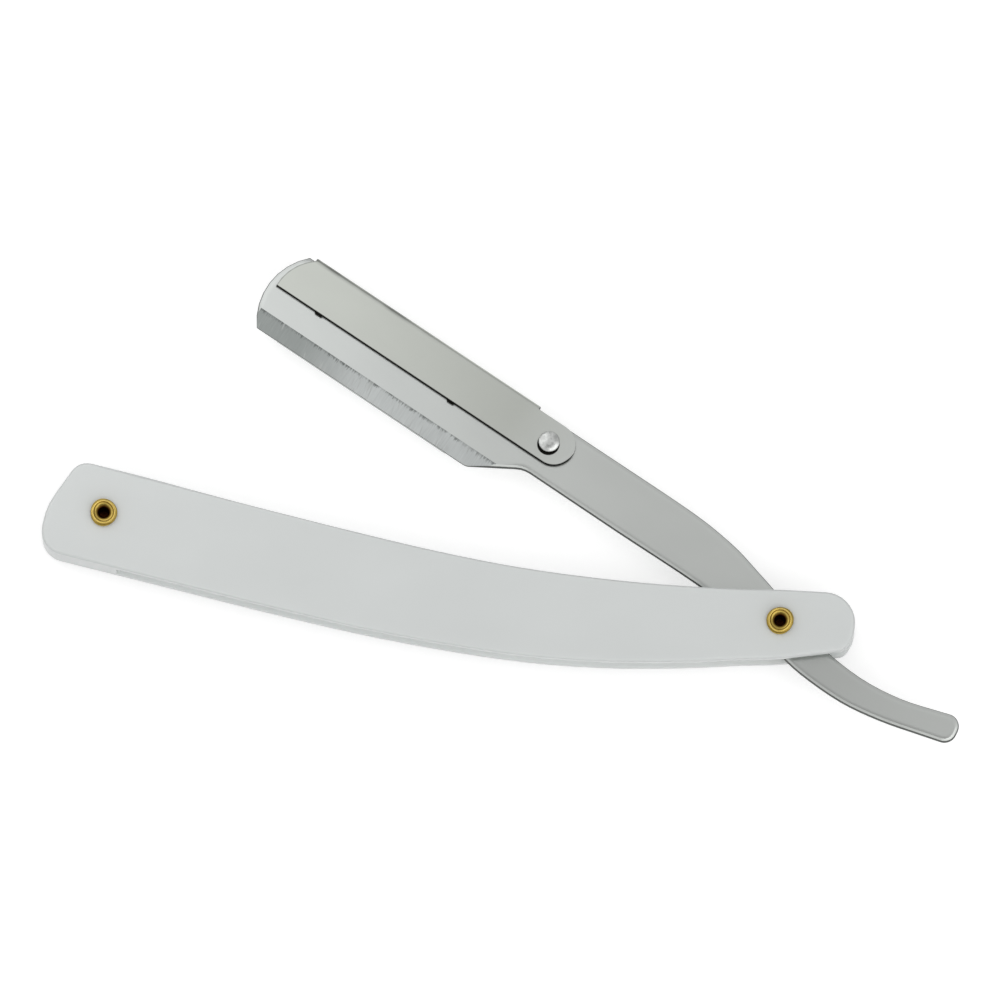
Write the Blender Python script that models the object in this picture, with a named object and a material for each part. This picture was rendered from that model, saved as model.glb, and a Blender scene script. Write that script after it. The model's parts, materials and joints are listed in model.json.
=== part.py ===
"""Folding razor with an exchangeable half blade, lying on its side with the arm part open.

The arm turns between two plastic scales. Its two steel leaves grip the blade, and a folded clip over
their spine holds them shut. Pieces are made around the pivot, and then the whole razor is moved so
that the centre of its underside is the origin.
"""

import math

import bmesh
import bpy
from mathutils import Vector

MM = 0.001

# Blade: half of a double-edged blade, snapped along its middle
BLADE_LENGTH = 42.9 * MM
BLADE_EDGE_LENGTH = 37.4 * MM
BLADE_WIDTH = 11.0 * MM
BLADE_THICKNESS = 0.1 * MM
BLADE_SHOULDER = 4.6 * MM
BLADE_GRIND = 0.9 * MM
BLADE_EDGE_THICKNESS = 0.02 * MM
BLADE_EXPOSURE = 0.2 * MM
BLADE_END_MARGIN = 1.72 * MM

# Arm: two flat leaves with the holder at one end and a curved tail past the pivot
LEAF_THICKNESS = 0.8 * MM
LEAF_EDGE_ROUND = 0.6 * MM
TANG_LENGTH = 54.0 * MM
NECK_LENGTH = 10.25 * MM
TAIL_REACH = 38.4 * MM
TIP_RADIUS = 12.1 * MM
TIP_CENTRE_DROP = 0.1 * MM
HOLDER_DROP = 7.8 * MM
SPINE_RISE = 8.45 * MM
HEEL_SLOPE_LENGTH = 9.15 * MM
HEEL_RADIUS = 2.4 * MM
HEEL_HOLLOW_RADIUS = 5.0 * MM
TAIL_CORNER_RADIUS = 2.3 * MM
GRIND_WIDTH = 3.4 * MM
GRIND_DEPTH = 0.55 * MM

# Clip: one sheet folded over the spine, with a round tab at the rivet
CLIP_SHEET = 0.5 * MM
CLIP_SKIRT = 8.0 * MM
CLIP_END_RADIUS = 9.2 * MM
CLIP_END_RISE = 0.75 * MM
CLIP_END_MARGIN = 1.44 * MM
CLIP_TAB_LEAD = 1.05 * MM
CLIP_FOLD_LEAD = 5.0 * MM
NUB_WIDTH = 1.8 * MM
NUB_DEPTH = 0.3 * MM
NUB_PLACE_SHARES = (0.161, 0.657)

# Clip rivet, domed on both sides
CLIP_RIVET_RADIUS = 1.2 * MM
CLIP_HEAD_RADIUS = 1.95 * MM
CLIP_HEAD_HEIGHT = 0.6 * MM

# Pegs that the blade's notches sit on
PEG_RADIUS = 0.9 * MM
PEG_SPACING = 20.0 * MM

# Handle: two equal scales and the spacer between them at the butt
SCALE_THICKNESS = 1.6 * MM
SCALE_EDGE_ROUND = 0.5 * MM
HANDLE_DEPTH = 18.0 * MM
BUTT_OVERHANG = 10.75 * MM
BUTT_SET_BACK = 4.7 * MM
TOE_OVERHANG = 13.7 * MM
TOE_SET_BACK = 1.2 * MM
BUTT_TOP_RADIUS = 3.4 * MM
BUTT_BULGE_RADIUS = 14.0 * MM
BUTT_LOW_RADIUS = 4.8 * MM
TOE_TOP_RADIUS = 6.5 * MM
TOE_BULGE_RADIUS = 6.0 * MM
TOE_LOW_RADIUS = 2.2 * MM
SPACER_MARGIN = 3.9 * MM
SPACER_LEAN = 10.0 * MM
SPACER_CORNER_RADIUS = 3.0 * MM

# Tubular rivets, their collars and the washers beside the tang
TUBE_RADIUS = 1.45 * MM
BORE_RADIUS = 1.15 * MM
BORE_DEPTH = 4.2 * MM
HEAD_RADIUS = 2.3 * MM
HEAD_HEIGHT = 0.6 * MM
CROWN_RADIUS = 1.95 * MM
CROWN_WIDTH = 0.2 * MM
FUNNEL_DEPTH = 0.9 * MM
COLLAR_RADIUS = 2.6 * MM
COLLAR_THICKNESS = 0.6 * MM
COLLAR_CHAMFER = 0.15 * MM
WASHER_RADIUS = 3.2 * MM

# Clearances
BLADE_PLAY = 0.05 * MM
CLIP_PLAY = 0.08 * MM
SPINE_PLAY = 0.1 * MM
CLOSING_PLAY = 0.13 * MM
TIP_PLAY = 8.23 * MM
SEAT_GAP = 0.05 * MM
TIGHT_FIT = 0.03 * MM
RUNNING_FIT = 0.06 * MM
PEG_FIT = 0.1 * MM

# Pose in which the razor lies
HANDLE_SLOPE = math.radians(9.24)
ARM_SLOPE = math.radians(34.1)

# Roundness of the faceted shapes, and how far a cutter runs past what it cuts
ROUND_STEPS = 32
ARC_STEP = math.radians(12.0)
CURVE_STEPS = 4
CORNER_ROOM_SHARE = 0.9
LEAF_RIM_STEPS = 2
SCALE_RIM_STEPS = 3
PROFILE_STEPS = 5
SHARP_ANGLE = math.radians(35.0)
CUT_OVERRUN = 1.0 * MM
MERGE_DISTANCE = 0.0005 * MM

# Heights above the mid-plane, outwards from the blade
LEAF_INNER = BLADE_THICKNESS / 2 + BLADE_PLAY
LEAF_OUTER = LEAF_INNER + LEAF_THICKNESS
CLIP_INNER = LEAF_OUTER + CLIP_PLAY
CLIP_OUTER = CLIP_INNER + CLIP_SHEET
CLIP_HEAD_SEAT = CLIP_OUTER + SEAT_GAP
CLIP_HEAD_TOP = CLIP_HEAD_SEAT + CLIP_HEAD_HEIGHT
SCALE_INNER = CLIP_HEAD_TOP + CLOSING_PLAY
SCALE_OUTER = SCALE_INNER + SCALE_THICKNESS
COLLAR_SEAT = SCALE_OUTER + SEAT_GAP
COLLAR_TOP = COLLAR_SEAT + COLLAR_THICKNESS
HEAD_SEAT = COLLAR_TOP + SEAT_GAP
HEAD_TOP = HEAD_SEAT + HEAD_HEIGHT

# Places in the arm's frame: x runs along the arm from tip to tail, y from the edge to the spine
HOLDER_LENGTH = BLADE_LENGTH + 2 * BLADE_END_MARGIN
HEEL_X = -TANG_LENGTH - NECK_LENGTH
TIP_CORNER_X = HEEL_X - HOLDER_LENGTH
HOLDER_LOW = -HOLDER_DROP
TIP_LOW_TURN = math.asin((HOLDER_DROP - TIP_CENTRE_DROP) / TIP_RADIUS)
TIP_TOP_TURN = math.asin((SPINE_RISE + TIP_CENTRE_DROP) / TIP_RADIUS)
TIP_CENTRE = (TIP_CORNER_X + TIP_RADIUS * math.cos(TIP_LOW_TURN), -TIP_CENTRE_DROP)
TIP_REACH = TIP_RADIUS - TIP_CENTRE[0]
BLADE_CENTRE_X = HEEL_X - HOLDER_LENGTH / 2
BLADE_LOW = HOLDER_LOW - BLADE_EXPOSURE
BLADE_TOP = BLADE_LOW + BLADE_WIDTH
FOLD_INNER = SPINE_RISE + SPINE_PLAY
FOLD_OUTER = FOLD_INNER + CLIP_SHEET
CLIP_LOW = SPINE_RISE - CLIP_SKIRT
CLIP_TAB_TOP = SPINE_RISE - SEAT_GAP
FOLD_INNER_RADIUS = FOLD_INNER - CLIP_TAB_TOP
CLIP_TAB_RADIUS = (CLIP_TAB_TOP - CLIP_LOW) / 2
RIVET_PLACE = (-TANG_LENGTH, CLIP_LOW + CLIP_TAB_RADIUS)

# Handle frame: x runs from butt to toe, with the butt rivet at minus the pin spacing
PIN_SPACING = TIP_REACH + TIP_PLAY + SPACER_MARGIN

# Scale outline: shares of the pin spacing along the handle and of the handle's depth across it
SCALE_TOP_SHARES = (
    (-0.956, 0.443),
    (-0.805, 0.331),
    (-0.625, 0.217),
    (-0.478, 0.146),
    (-0.350, 0.129),
    (-0.211, 0.168),
    (-0.080, 0.253),
    (0.000, 0.330),
)
SCALE_LOW_SHARES = (
    (0.015, -0.366),
    (-0.049, -0.453),
    (-0.135, -0.577),
    (-0.250, -0.703),
    (-0.366, -0.770),
    (-0.484, -0.778),
    (-0.603, -0.752),
    (-0.722, -0.694),
    (-0.843, -0.622),
    (-0.992, -0.528),
)
TOE_TOP_SHARE = 0.410
TOE_BULGE_SHARE = -0.050
TOE_LOW_SHARE = -0.194
BUTT_TOP_SHARE = 0.5
BUTT_BULGE_SHARE = -0.033
BUTT_LOW_SHARE = -0.472
SPACER_LEAN_SHARES = (0.2, 0.6)

# Tang and tail outline: shares of the tang's or the tail's length along, and of the spine's rise across
TANG_LOW_SHARE = -0.272
TANG_LOW_SHARES = ((-0.852, -0.278), (-0.630, -0.282), (-0.315, -0.275), (-0.130, -0.365))
TAIL_LOW_SHARES = ((0.040, -0.521), (0.212, -0.656), (0.447, -0.682), (0.656, -0.543), (0.852, -0.314))
TAIL_END_LOW_SHARES = (1.003, -0.130)
TAIL_END_TOP_SHARES = (0.982, 0.520)
TAIL_TOP_SHARES = ((0.870, 0.357), (0.675, 0.104), (0.460, 0.002), (0.219, 0.096), (0.104, 0.258))
TANG_TOP_SHARES = (
    (-0.080, 0.560),
    (-0.155, 0.688),
    (-0.254, 0.850),
    (-0.345, 0.937),
    (-0.432, 0.984),
    (-0.560, 1.000),
    (-0.800, 1.000),
)


def new_frame(name, parent=None, place=(0, 0, 0), turn=0):
    """An empty that pieces hang on, with its Z on the axis that they turn about."""
    frame = bpy.data.objects.new(name, None)
    bpy.context.scene.collection.objects.link(frame)
    frame.parent = parent
    frame.location = place
    frame.rotation_euler = (0, 0, turn)
    return frame


def new_piece(name, bm, parent, place=(0, 0, 0)):
    """An object of this mesh, hung on a frame."""
    bmesh.ops.remove_doubles(bm, verts=bm.verts, dist=MERGE_DISTANCE)
    bmesh.ops.recalc_face_normals(bm, faces=bm.faces)
    mesh = bpy.data.meshes.new(name)
    bm.to_mesh(mesh)
    bm.free()
    mesh.shade_smooth()
    mesh.set_sharp_from_angle(angle=SHARP_ANGLE)
    piece = bpy.data.objects.new(name, mesh)
    bpy.context.scene.collection.objects.link(piece)
    piece.parent = parent
    piece.location = place
    return piece


def new_material(name, colour, roughness, metallic):
    material = bpy.data.materials.new(name)
    material.use_nodes = True
    shader = material.node_tree.nodes["Principled BSDF"]
    shader.inputs["Base Color"].default_value = (*colour, 1)
    shader.inputs["Roughness"].default_value = roughness
    shader.inputs["Metallic"].default_value = metallic
    return material


def cut(piece, cutter, operation="DIFFERENCE"):
    """Shape a piece with a hidden one."""
    cutter.hide_render = True
    cutter.display_type = "WIRE"
    modifier = piece.modifiers.new(cutter.name, "BOOLEAN")
    modifier.operation = operation
    modifier.object = cutter


def arc(centre, radius, start, end):
    """Points of an arc, both ends included."""
    steps = max(2, math.ceil(abs(end - start) / ARC_STEP))
    angles = [start + (end - start) * step / steps for step in range(steps + 1)]
    return [Vector((centre[0] + radius * math.cos(a), centre[1] + radius * math.sin(a))) for a in angles]


def rounded_corner(before, corner, after, radius):
    """The arc that rounds the corner between two straight sides."""
    arriving = (before - corner).normalized()
    leaving = (after - corner).normalized()
    half = arriving.angle(leaving) / 2
    centre = corner + (arriving + leaving).normalized() * (radius / math.sin(half))
    first = corner + arriving * (radius / math.tan(half)) - centre
    last = corner + leaving * (radius / math.tan(half)) - centre
    start = math.atan2(first.y, first.x)
    return arc(centre, radius, start, start - first.angle_signed(last))


def rounded_run(before, corners, after):
    """Arcs that round a run of (point, radius) corners, and share a side that is short for both."""
    points = [Vector(before)] + [Vector(point) for point, _ in corners] + [Vector(after)]
    sides = [end - start for start, end in zip(points, points[1:])]
    turns = [arriving.angle(leaving) for arriving, leaving in zip(sides, sides[1:])]
    needs = [radius * math.tan(turn / 2) for (_, radius), turn in zip(corners, turns)]
    asked = [left + right for left, right in zip([0] + needs, needs + [0])]
    fits = [min(1, side.length * CORNER_ROOM_SHARE / need) for side, need in zip(sides, asked)]
    outline = []
    for number, (_, radius) in enumerate(corners):
        fit = min(fits[number], fits[number + 1])
        outline += rounded_corner(*points[number : number + 3], radius * fit)
    return outline


def curve_through(before, points, after):
    """A smooth curve through the points, arriving from before and leaving towards after."""
    guides = [Vector(point) for point in (before, *points, after)]
    curve = []
    for earlier, start, end, later in zip(guides, guides[1:], guides[2:], guides[3:]):
        for step in range(CURVE_STEPS):
            t = step / CURVE_STEPS
            curve.append(
                start * (2 * t**3 - 3 * t**2 + 1)
                + end * (3 * t**2 - 2 * t**3)
                + (end - earlier) / 2 * (t**3 - 2 * t**2 + t)
                + (later - start) / 2 * (t**3 - t**2)
            )
    curve.append(guides[-2])
    return curve


def placed(shares, length, depth):
    """The points that shares of a length and a depth stand for."""
    return [(length * along, depth * across) for along, across in shares]


def extruded(points, travel):
    """A closed prism from a flat ring of 3D points, moved along a vector."""
    bm = bmesh.new()
    base = bm.faces.new([bm.verts.new(point) for point in points])
    raised = bmesh.ops.extrude_face_region(bm, geom=[base])
    moved = [item for item in raised["geom"] if isinstance(item, bmesh.types.BMVert)]
    bmesh.ops.translate(bm, verts=moved, vec=travel)
    bmesh.ops.recalc_face_normals(bm, faces=bm.faces)
    return bm, moved


def plate(outline, low, high, edge_round=0, rim_steps=1):
    """A flat plate of this outline between two heights, with its upper rim rounded if asked."""
    bm, top = extruded([(x, y, low) for x, y in outline], (0, 0, high - low))
    if edge_round:
        raised = set(top)
        bmesh.ops.bevel(
            bm,
            geom=[edge for edge in bm.edges if raised.issuperset(edge.verts)],
            offset=edge_round,
            offset_type="OFFSET",
            segments=rim_steps,
            profile=0.5,
            affect="EDGES",
            material=-1,
        )
    return bm


def bar(section, start, end):
    """A bar along X with this section of (y, z) points."""
    bm, _ = extruded([(start, y, z) for y, z in section], (end - start, 0, 0))
    return bm


def turned(profile):
    """A round piece from its half profile of (radius, height) points, turned about Z."""
    bm = bmesh.new()
    points = [bm.verts.new((radius, 0, height)) for radius, height in profile]
    is_ring = profile[0][0] > 0
    following = points[1:] + points[:1] if is_ring else points[1:]
    sides = [bm.edges.new(pair) for pair in zip(points, following)]
    bmesh.ops.spin(
        bm,
        geom=points + sides,
        angle=math.tau,
        steps=ROUND_STEPS,
        axis=(0, 0, 1),
        cent=(0, 0, 0),
        use_merge=True,
    )
    return bm


def mirrored(bm):
    """The same shape on the other side of the mid-plane."""
    bmesh.ops.scale(bm, vec=(1, 1, -1), verts=bm.verts)
    return bm


def bore(piece, name, radius, place, offset=(0, 0, 0)):
    """A round hole along Z, right through a piece."""
    reach = HEAD_TOP + CUT_OVERRUN
    pin = turned([(0, -reach), (radius, -reach), (radius, reach), (0, reach)])
    bmesh.ops.translate(pin, verts=pin.verts, vec=(place[0], place[1], 0))
    cut(piece, new_piece(name, pin, piece.parent, offset))


def scale_outline():
    """The curved shape of a scale, along the top from butt to toe and back along the lower edge."""
    top = placed(SCALE_TOP_SHARES, PIN_SPACING, HANDLE_DEPTH)
    low = placed(SCALE_LOW_SHARES, PIN_SPACING, HANDLE_DEPTH)
    butt_x = -PIN_SPACING - BUTT_OVERHANG
    butt_top = (butt_x + BUTT_SET_BACK, HANDLE_DEPTH * BUTT_TOP_SHARE)
    butt_bulge = (butt_x, HANDLE_DEPTH * BUTT_BULGE_SHARE)
    butt_low = (butt_x, HANDLE_DEPTH * BUTT_LOW_SHARE)
    toe_top = (TOE_OVERHANG, HANDLE_DEPTH * TOE_TOP_SHARE)
    toe_bulge = (TOE_OVERHANG, HANDLE_DEPTH * TOE_BULGE_SHARE)
    toe_low = (TOE_OVERHANG - TOE_SET_BACK, HANDLE_DEPTH * TOE_LOW_SHARE)
    toe = [(toe_top, TOE_TOP_RADIUS), (toe_bulge, TOE_BULGE_RADIUS), (toe_low, TOE_LOW_RADIUS)]
    butt = [(butt_low, BUTT_LOW_RADIUS), (butt_bulge, BUTT_BULGE_RADIUS), (butt_top, BUTT_TOP_RADIUS)]
    outline = curve_through(butt_top, top, toe_top)
    outline += rounded_run(top[-1], toe, low[0])
    outline += curve_through(toe_low, low, butt_low)
    outline += rounded_run(low[-1], butt, top[0])
    return outline


def leaf_outline():
    """Holder, tang and tail of a leaf, from the heel along the lower edge to the tail and back."""
    lower_tang = placed(TANG_LOW_SHARES, TANG_LENGTH, SPINE_RISE)
    lower_tail = placed(TAIL_LOW_SHARES, TAIL_REACH, SPINE_RISE)
    upper_tail = placed(TAIL_TOP_SHARES, TAIL_REACH, SPINE_RISE)
    upper_tang = placed(TANG_TOP_SHARES, TANG_LENGTH, SPINE_RISE)
    end_low, end_top = placed((TAIL_END_LOW_SHARES, TAIL_END_TOP_SHARES), TAIL_REACH, SPINE_RISE)
    tip_low = (TIP_CORNER_X, HOLDER_LOW)
    heel = (HEEL_X, HOLDER_LOW)
    hollow = (HEEL_X + HEEL_SLOPE_LENGTH, SPINE_RISE * TANG_LOW_SHARE)
    heel_run = [(heel, HEEL_RADIUS), (hollow, HEEL_HOLLOW_RADIUS)]
    end_run = [(end_low, TAIL_CORNER_RADIUS), (end_top, TAIL_CORNER_RADIUS)]
    outline = rounded_run(tip_low, heel_run, lower_tang[0])
    outline += curve_through(hollow, lower_tang + lower_tail, end_low)
    outline += rounded_run(lower_tail[-1], end_run, upper_tail[0])
    outline += curve_through(end_top, upper_tail + upper_tang, (RIVET_PLACE[0], SPINE_RISE))
    outline += arc(TIP_CENTRE, TIP_RADIUS, math.pi - TIP_TOP_TURN, math.pi + TIP_LOW_TURN)
    return outline


def nub(share, start, end):
    """A small stop that stands down from the clip's skirt."""
    centre = start + (end - start) * share
    half = NUB_WIDTH / 2
    return [
        Vector((centre - half, CLIP_LOW)),
        Vector((centre - half + NUB_DEPTH, CLIP_LOW - NUB_DEPTH)),
        Vector((centre + half - NUB_DEPTH, CLIP_LOW - NUB_DEPTH)),
        Vector((centre + half, CLIP_LOW)),
    ]


def clip_outline():
    """Side view of the clip: skirt, round tab, fold along the spine and curved front end."""
    end_centre = (-TIP_REACH + CLIP_END_MARGIN + CLIP_END_RADIUS, CLIP_LOW + CLIP_END_RISE)
    low_angle = math.pi + math.asin(CLIP_END_RISE / CLIP_END_RADIUS)
    top_angle = math.pi - math.asin((CLIP_TAB_TOP - end_centre[1]) / CLIP_END_RADIUS)
    tab_centre = (RIVET_PLACE[0] + CLIP_TAB_LEAD, RIVET_PLACE[1])
    fold_start = end_centre[0] + CLIP_END_RADIUS * math.cos(top_angle)
    fold_end = RIVET_PLACE[0] - CLIP_FOLD_LEAD
    outline = []
    for share in NUB_PLACE_SHARES:
        outline += nub(share, end_centre[0] - CLIP_END_RADIUS, tab_centre[0])
    outline += arc(tab_centre, CLIP_TAB_RADIUS, -math.pi / 2, math.pi / 2)
    outline += [Vector((fold_end, CLIP_TAB_TOP)), Vector((fold_end, FOLD_OUTER))]
    outline += [Vector((fold_start, FOLD_OUTER))]
    outline += arc(end_centre, CLIP_END_RADIUS, top_angle, low_angle)
    return outline


def clip_section():
    """Section of the folded sheet: a channel that is open below."""
    foot = CLIP_LOW - CUT_OVERRUN
    section = []
    for side, height, rise, radius in (
        (CLIP_OUTER, FOLD_OUTER, 1, FOLD_INNER_RADIUS + CLIP_SHEET),
        (CLIP_INNER, FOLD_INNER, -1, FOLD_INNER_RADIUS),
    ):
        start, end = (foot, -side * rise), (foot, side * rise)
        corners = [((height, -side * rise), radius), ((height, side * rise), radius)]
        section += [Vector(start)] + rounded_run(start, corners, end) + [Vector(end)]
    return section


def blade_outline():
    """Half blade: cutting edge below, wider shoulders, and two half round notches along the snapped edge."""
    half_edge = BLADE_EDGE_LENGTH / 2
    half_length = BLADE_LENGTH / 2
    shoulder = BLADE_LOW + BLADE_SHOULDER
    notch_radius = PEG_RADIUS + PEG_FIT
    outline = [
        Vector((BLADE_CENTRE_X - half_edge, BLADE_LOW)),
        Vector((BLADE_CENTRE_X + half_edge, BLADE_LOW)),
        Vector((BLADE_CENTRE_X + half_edge, shoulder)),
        Vector((BLADE_CENTRE_X + half_length, shoulder)),
        Vector((BLADE_CENTRE_X + half_length, BLADE_TOP)),
    ]
    for peg_x in reversed(peg_places()):
        outline += arc((peg_x, BLADE_TOP), notch_radius, 0, -math.pi)
    outline += [
        Vector((BLADE_CENTRE_X - half_length, BLADE_TOP)),
        Vector((BLADE_CENTRE_X - half_length, shoulder)),
        Vector((BLADE_CENTRE_X - half_edge, shoulder)),
    ]
    return outline


def peg_places():
    return [BLADE_CENTRE_X - PEG_SPACING / 2, BLADE_CENTRE_X + PEG_SPACING / 2]


def make_scales(handle, plastic):
    """Two equal plates with a softly rounded outer rim, bored for both rivets."""
    for name, shape in (("front_scale", lambda bm: bm), ("back_scale", mirrored)):
        bm = plate(scale_outline(), SCALE_INNER, SCALE_OUTER, SCALE_EDGE_ROUND, SCALE_RIM_STEPS)
        scale = new_piece(name, shape(bm), handle)
        scale.data.materials.append(plastic)
        for pin_name, pin_x in (("pivot", 0), ("butt", -PIN_SPACING)):
            bore(scale, name + "_" + pin_name + "_bore", TUBE_RADIUS + TIGHT_FIT, (pin_x, 0))


def make_spacer(handle, plastic):
    """The wedge that fills the butt between the scales, cut back round the butt rivet."""
    half = SCALE_INNER - SEAT_GAP
    spacer = new_piece("butt_spacer", plate(scale_outline(), -half, half), handle)
    spacer.data.materials.append(plastic)
    inner_x = -PIN_SPACING + SPACER_MARGIN
    knee_y, top_y = [HANDLE_DEPTH * share for share in SPACER_LEAN_SHARES]
    low_y = -HANDLE_DEPTH
    far_x = TOE_OVERHANG + CUT_OVERRUN
    low, knee, top = (inner_x, low_y), (inner_x, knee_y), (inner_x - SPACER_LEAN, top_y)
    void = [Vector(low)] + rounded_run(low, [(knee, SPACER_CORNER_RADIUS)], top)
    void += [Vector(top), Vector((far_x, top_y)), Vector((far_x, low_y))]
    reach = half + CUT_OVERRUN
    cut(spacer, new_piece("spacer_front_void", plate(void, -reach, reach), handle))
    bore(spacer, "spacer_bore", TUBE_RADIUS + TIGHT_FIT, (-PIN_SPACING, 0))


def head_profile():
    """One end of a tubular rivet, from its blind bore over the rolled lip to its outer wall."""
    crown_outer = CROWN_RADIUS + CROWN_WIDTH
    bore_floor = HEAD_TOP - BORE_DEPTH
    profile = [(0, bore_floor), (BORE_RADIUS, bore_floor)]
    for step in range(PROFILE_STEPS + 1):
        angle = math.pi / 2 * step / PROFILE_STEPS
        radius = CROWN_RADIUS - (CROWN_RADIUS - BORE_RADIUS) * math.cos(angle)
        profile.append((radius, HEAD_TOP - FUNNEL_DEPTH * (1 - math.sin(angle))))
    for step in range(PROFILE_STEPS + 1):
        angle = math.pi / 2 * step / PROFILE_STEPS
        radius = crown_outer + (HEAD_RADIUS - crown_outer) * math.sin(angle)
        profile.append((radius, HEAD_SEAT + HEAD_HEIGHT * math.cos(angle)))
    profile.append((TUBE_RADIUS, HEAD_SEAT))
    return profile


def make_tube_rivets(handle, brass):
    """Two rivets, bored and rolled out into a head at both ends, with a collar under each head."""
    upper = head_profile()
    lower = [(radius, -height) for radius, height in reversed(upper)]
    bore_wall = TUBE_RADIUS + TIGHT_FIT
    collar = [
        (bore_wall, COLLAR_SEAT),
        (COLLAR_RADIUS, COLLAR_SEAT),
        (COLLAR_RADIUS, COLLAR_TOP - COLLAR_CHAMFER),
        (COLLAR_RADIUS - COLLAR_CHAMFER, COLLAR_TOP),
        (bore_wall, COLLAR_TOP),
    ]
    for name, pin_x in (("pivot", 0), ("butt", -PIN_SPACING)):
        place = (pin_x, 0, 0)
        rivet = new_piece(name + "_rivet", turned(upper + lower), handle, place)
        rivet.data.materials.append(brass)
        front = new_piece(name + "_collar_front", turned(collar), handle, place)
        front.data.materials.append(brass)
        back = new_piece(name + "_collar_back", mirrored(turned(collar)), handle, place)
        back.data.materials.append(brass)


def make_pivot_washers(handle, brass):
    """Spacing washers that keep the tang in the middle of the handle."""
    low = LEAF_OUTER + SEAT_GAP
    high = SCALE_INNER - SEAT_GAP
    wall = TUBE_RADIUS + RUNNING_FIT
    ring = [(wall, low), (WASHER_RADIUS, low), (WASHER_RADIUS, high), (wall, high)]
    front = new_piece("pivot_washer_front", turned(ring), handle)
    front.data.materials.append(brass)
    back = new_piece("pivot_washer_back", mirrored(turned(ring)), handle)
    back.data.materials.append(brass)


def grind_cutter(name, arm, side):
    """A wedge whose sloping face grinds the lower edge of one leaf."""
    slope = Vector((GRIND_WIDTH, GRIND_DEPTH)).normalized() * CUT_OVERRUN
    top = (HOLDER_LOW + GRIND_WIDTH + slope[0], LEAF_OUTER + slope[1])
    low = (HOLDER_LOW - slope[0], LEAF_OUTER - GRIND_DEPTH - slope[1])
    section = [(y, z * side) for y, z in (top, low, (low[0], top[1]))]
    return new_piece(name, bar(section, -TIP_REACH - CUT_OVERRUN, -TANG_LENGTH), arm)


def make_leaves(arm, steel):
    """Two equal leaves, each ground along the holder's edge and bored for rivet, pivot and pegs."""
    sides = (
        ("arm_front_leaf", 1, lambda bm: bm, PEG_FIT),
        ("arm_back_leaf", -1, mirrored, TIGHT_FIT),
    )
    for name, side, shape, peg_fit in sides:
        bm = plate(leaf_outline(), LEAF_INNER, LEAF_OUTER, LEAF_EDGE_ROUND, LEAF_RIM_STEPS)
        leaf = new_piece(name, shape(bm), arm)
        leaf.data.materials.append(steel)
        cut(leaf, grind_cutter(name + "_grind", arm, side))
        bore(leaf, name + "_pivot_hole", TUBE_RADIUS + RUNNING_FIT, (0, 0))
        bore(leaf, name + "_rivet_hole", CLIP_RIVET_RADIUS + TIGHT_FIT, RIVET_PLACE)
        for number, peg_x in enumerate(peg_places()):
            bore(leaf, name + "_peg_hole_" + str(number), PEG_RADIUS + peg_fit, (peg_x, BLADE_TOP))


def make_blade(arm, steel):
    """The half blade, thinned along its cutting edge."""
    half = BLADE_THICKNESS / 2
    bm = plate(blade_outline(), -half, half)
    everything = list(bm.verts) + list(bm.edges) + list(bm.faces)
    grind_line = (0, BLADE_LOW + BLADE_GRIND, 0)
    bmesh.ops.bisect_plane(bm, geom=everything, dist=MERGE_DISTANCE, plane_co=grind_line, plane_no=(0, 1, 0))
    edge = [vert for vert in bm.verts if vert.co.y < BLADE_LOW + MERGE_DISTANCE]
    bmesh.ops.scale(bm, vec=(1, 1, BLADE_EDGE_THICKNESS / BLADE_THICKNESS), verts=edge)
    blade = new_piece("half_blade", bm, arm)
    blade.data.materials.append(steel)


def make_pegs(arm, steel):
    """Pegs staked in the back leaf, which reach through the blade's notches into the front leaf."""
    profile = [(0, -LEAF_OUTER), (PEG_RADIUS, -LEAF_OUTER), (PEG_RADIUS, LEAF_OUTER), (0, LEAF_OUTER)]
    for name, peg_x in zip(("blade_peg_tip", "blade_peg_heel"), peg_places()):
        peg = new_piece(name, turned(profile), arm, (peg_x, BLADE_TOP, 0))
        peg.data.materials.append(steel)


def make_clip_rivet(arm, steel):
    """The rivet that the clip turns on, with a dome on each side."""
    dome = []
    for step in range(PROFILE_STEPS + 1):
        angle = math.pi / 2 * step / PROFILE_STEPS
        dome.append((CLIP_HEAD_RADIUS * math.sin(angle), CLIP_HEAD_SEAT + CLIP_HEAD_HEIGHT * math.cos(angle)))
    dome.append((CLIP_RIVET_RADIUS, CLIP_HEAD_SEAT))
    profile = dome + [(radius, -height) for radius, height in reversed(dome)]
    rivet = new_piece("clip_rivet", turned(profile), arm, (*RIVET_PLACE, 0))
    rivet.data.materials.append(steel)


def make_clip(arm, steel):
    """The folded clip, hung on a frame at its rivet."""
    frame = new_frame("clip_frame", arm, (*RIVET_PLACE, 0))
    offset = (-RIVET_PLACE[0], -RIVET_PLACE[1], 0)
    clip = new_piece("spine_clip", bar(clip_section(), -TIP_REACH, 0), frame, offset)
    clip.data.materials.append(steel)
    reach = CLIP_OUTER + CUT_OVERRUN
    side_view = new_piece("clip_side_view", plate(clip_outline(), -reach, reach), frame, offset)
    cut(clip, side_view, "INTERSECT")
    bore(clip, "clip_rivet_hole", CLIP_RIVET_RADIUS + RUNNING_FIT, RIVET_PLACE, offset)


def stand_on_origin(razor):
    """Move the whole razor so that the centre of its underside is the origin."""
    graph = bpy.context.evaluated_depsgraph_get()
    corners = []
    for piece in bpy.context.scene.objects:
        if piece.type == "MESH" and not piece.hide_render:
            evaluated = piece.evaluated_get(graph)
            corners += [evaluated.matrix_world @ vert.co for vert in evaluated.data.vertices]
    low = Vector([min(corner[axis] for corner in corners) for axis in range(3)])
    high = Vector([max(corner[axis] for corner in corners) for axis in range(3)])
    centre = (low + high) / 2
    razor.location = (-centre.x, -centre.y, -low.z)


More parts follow.
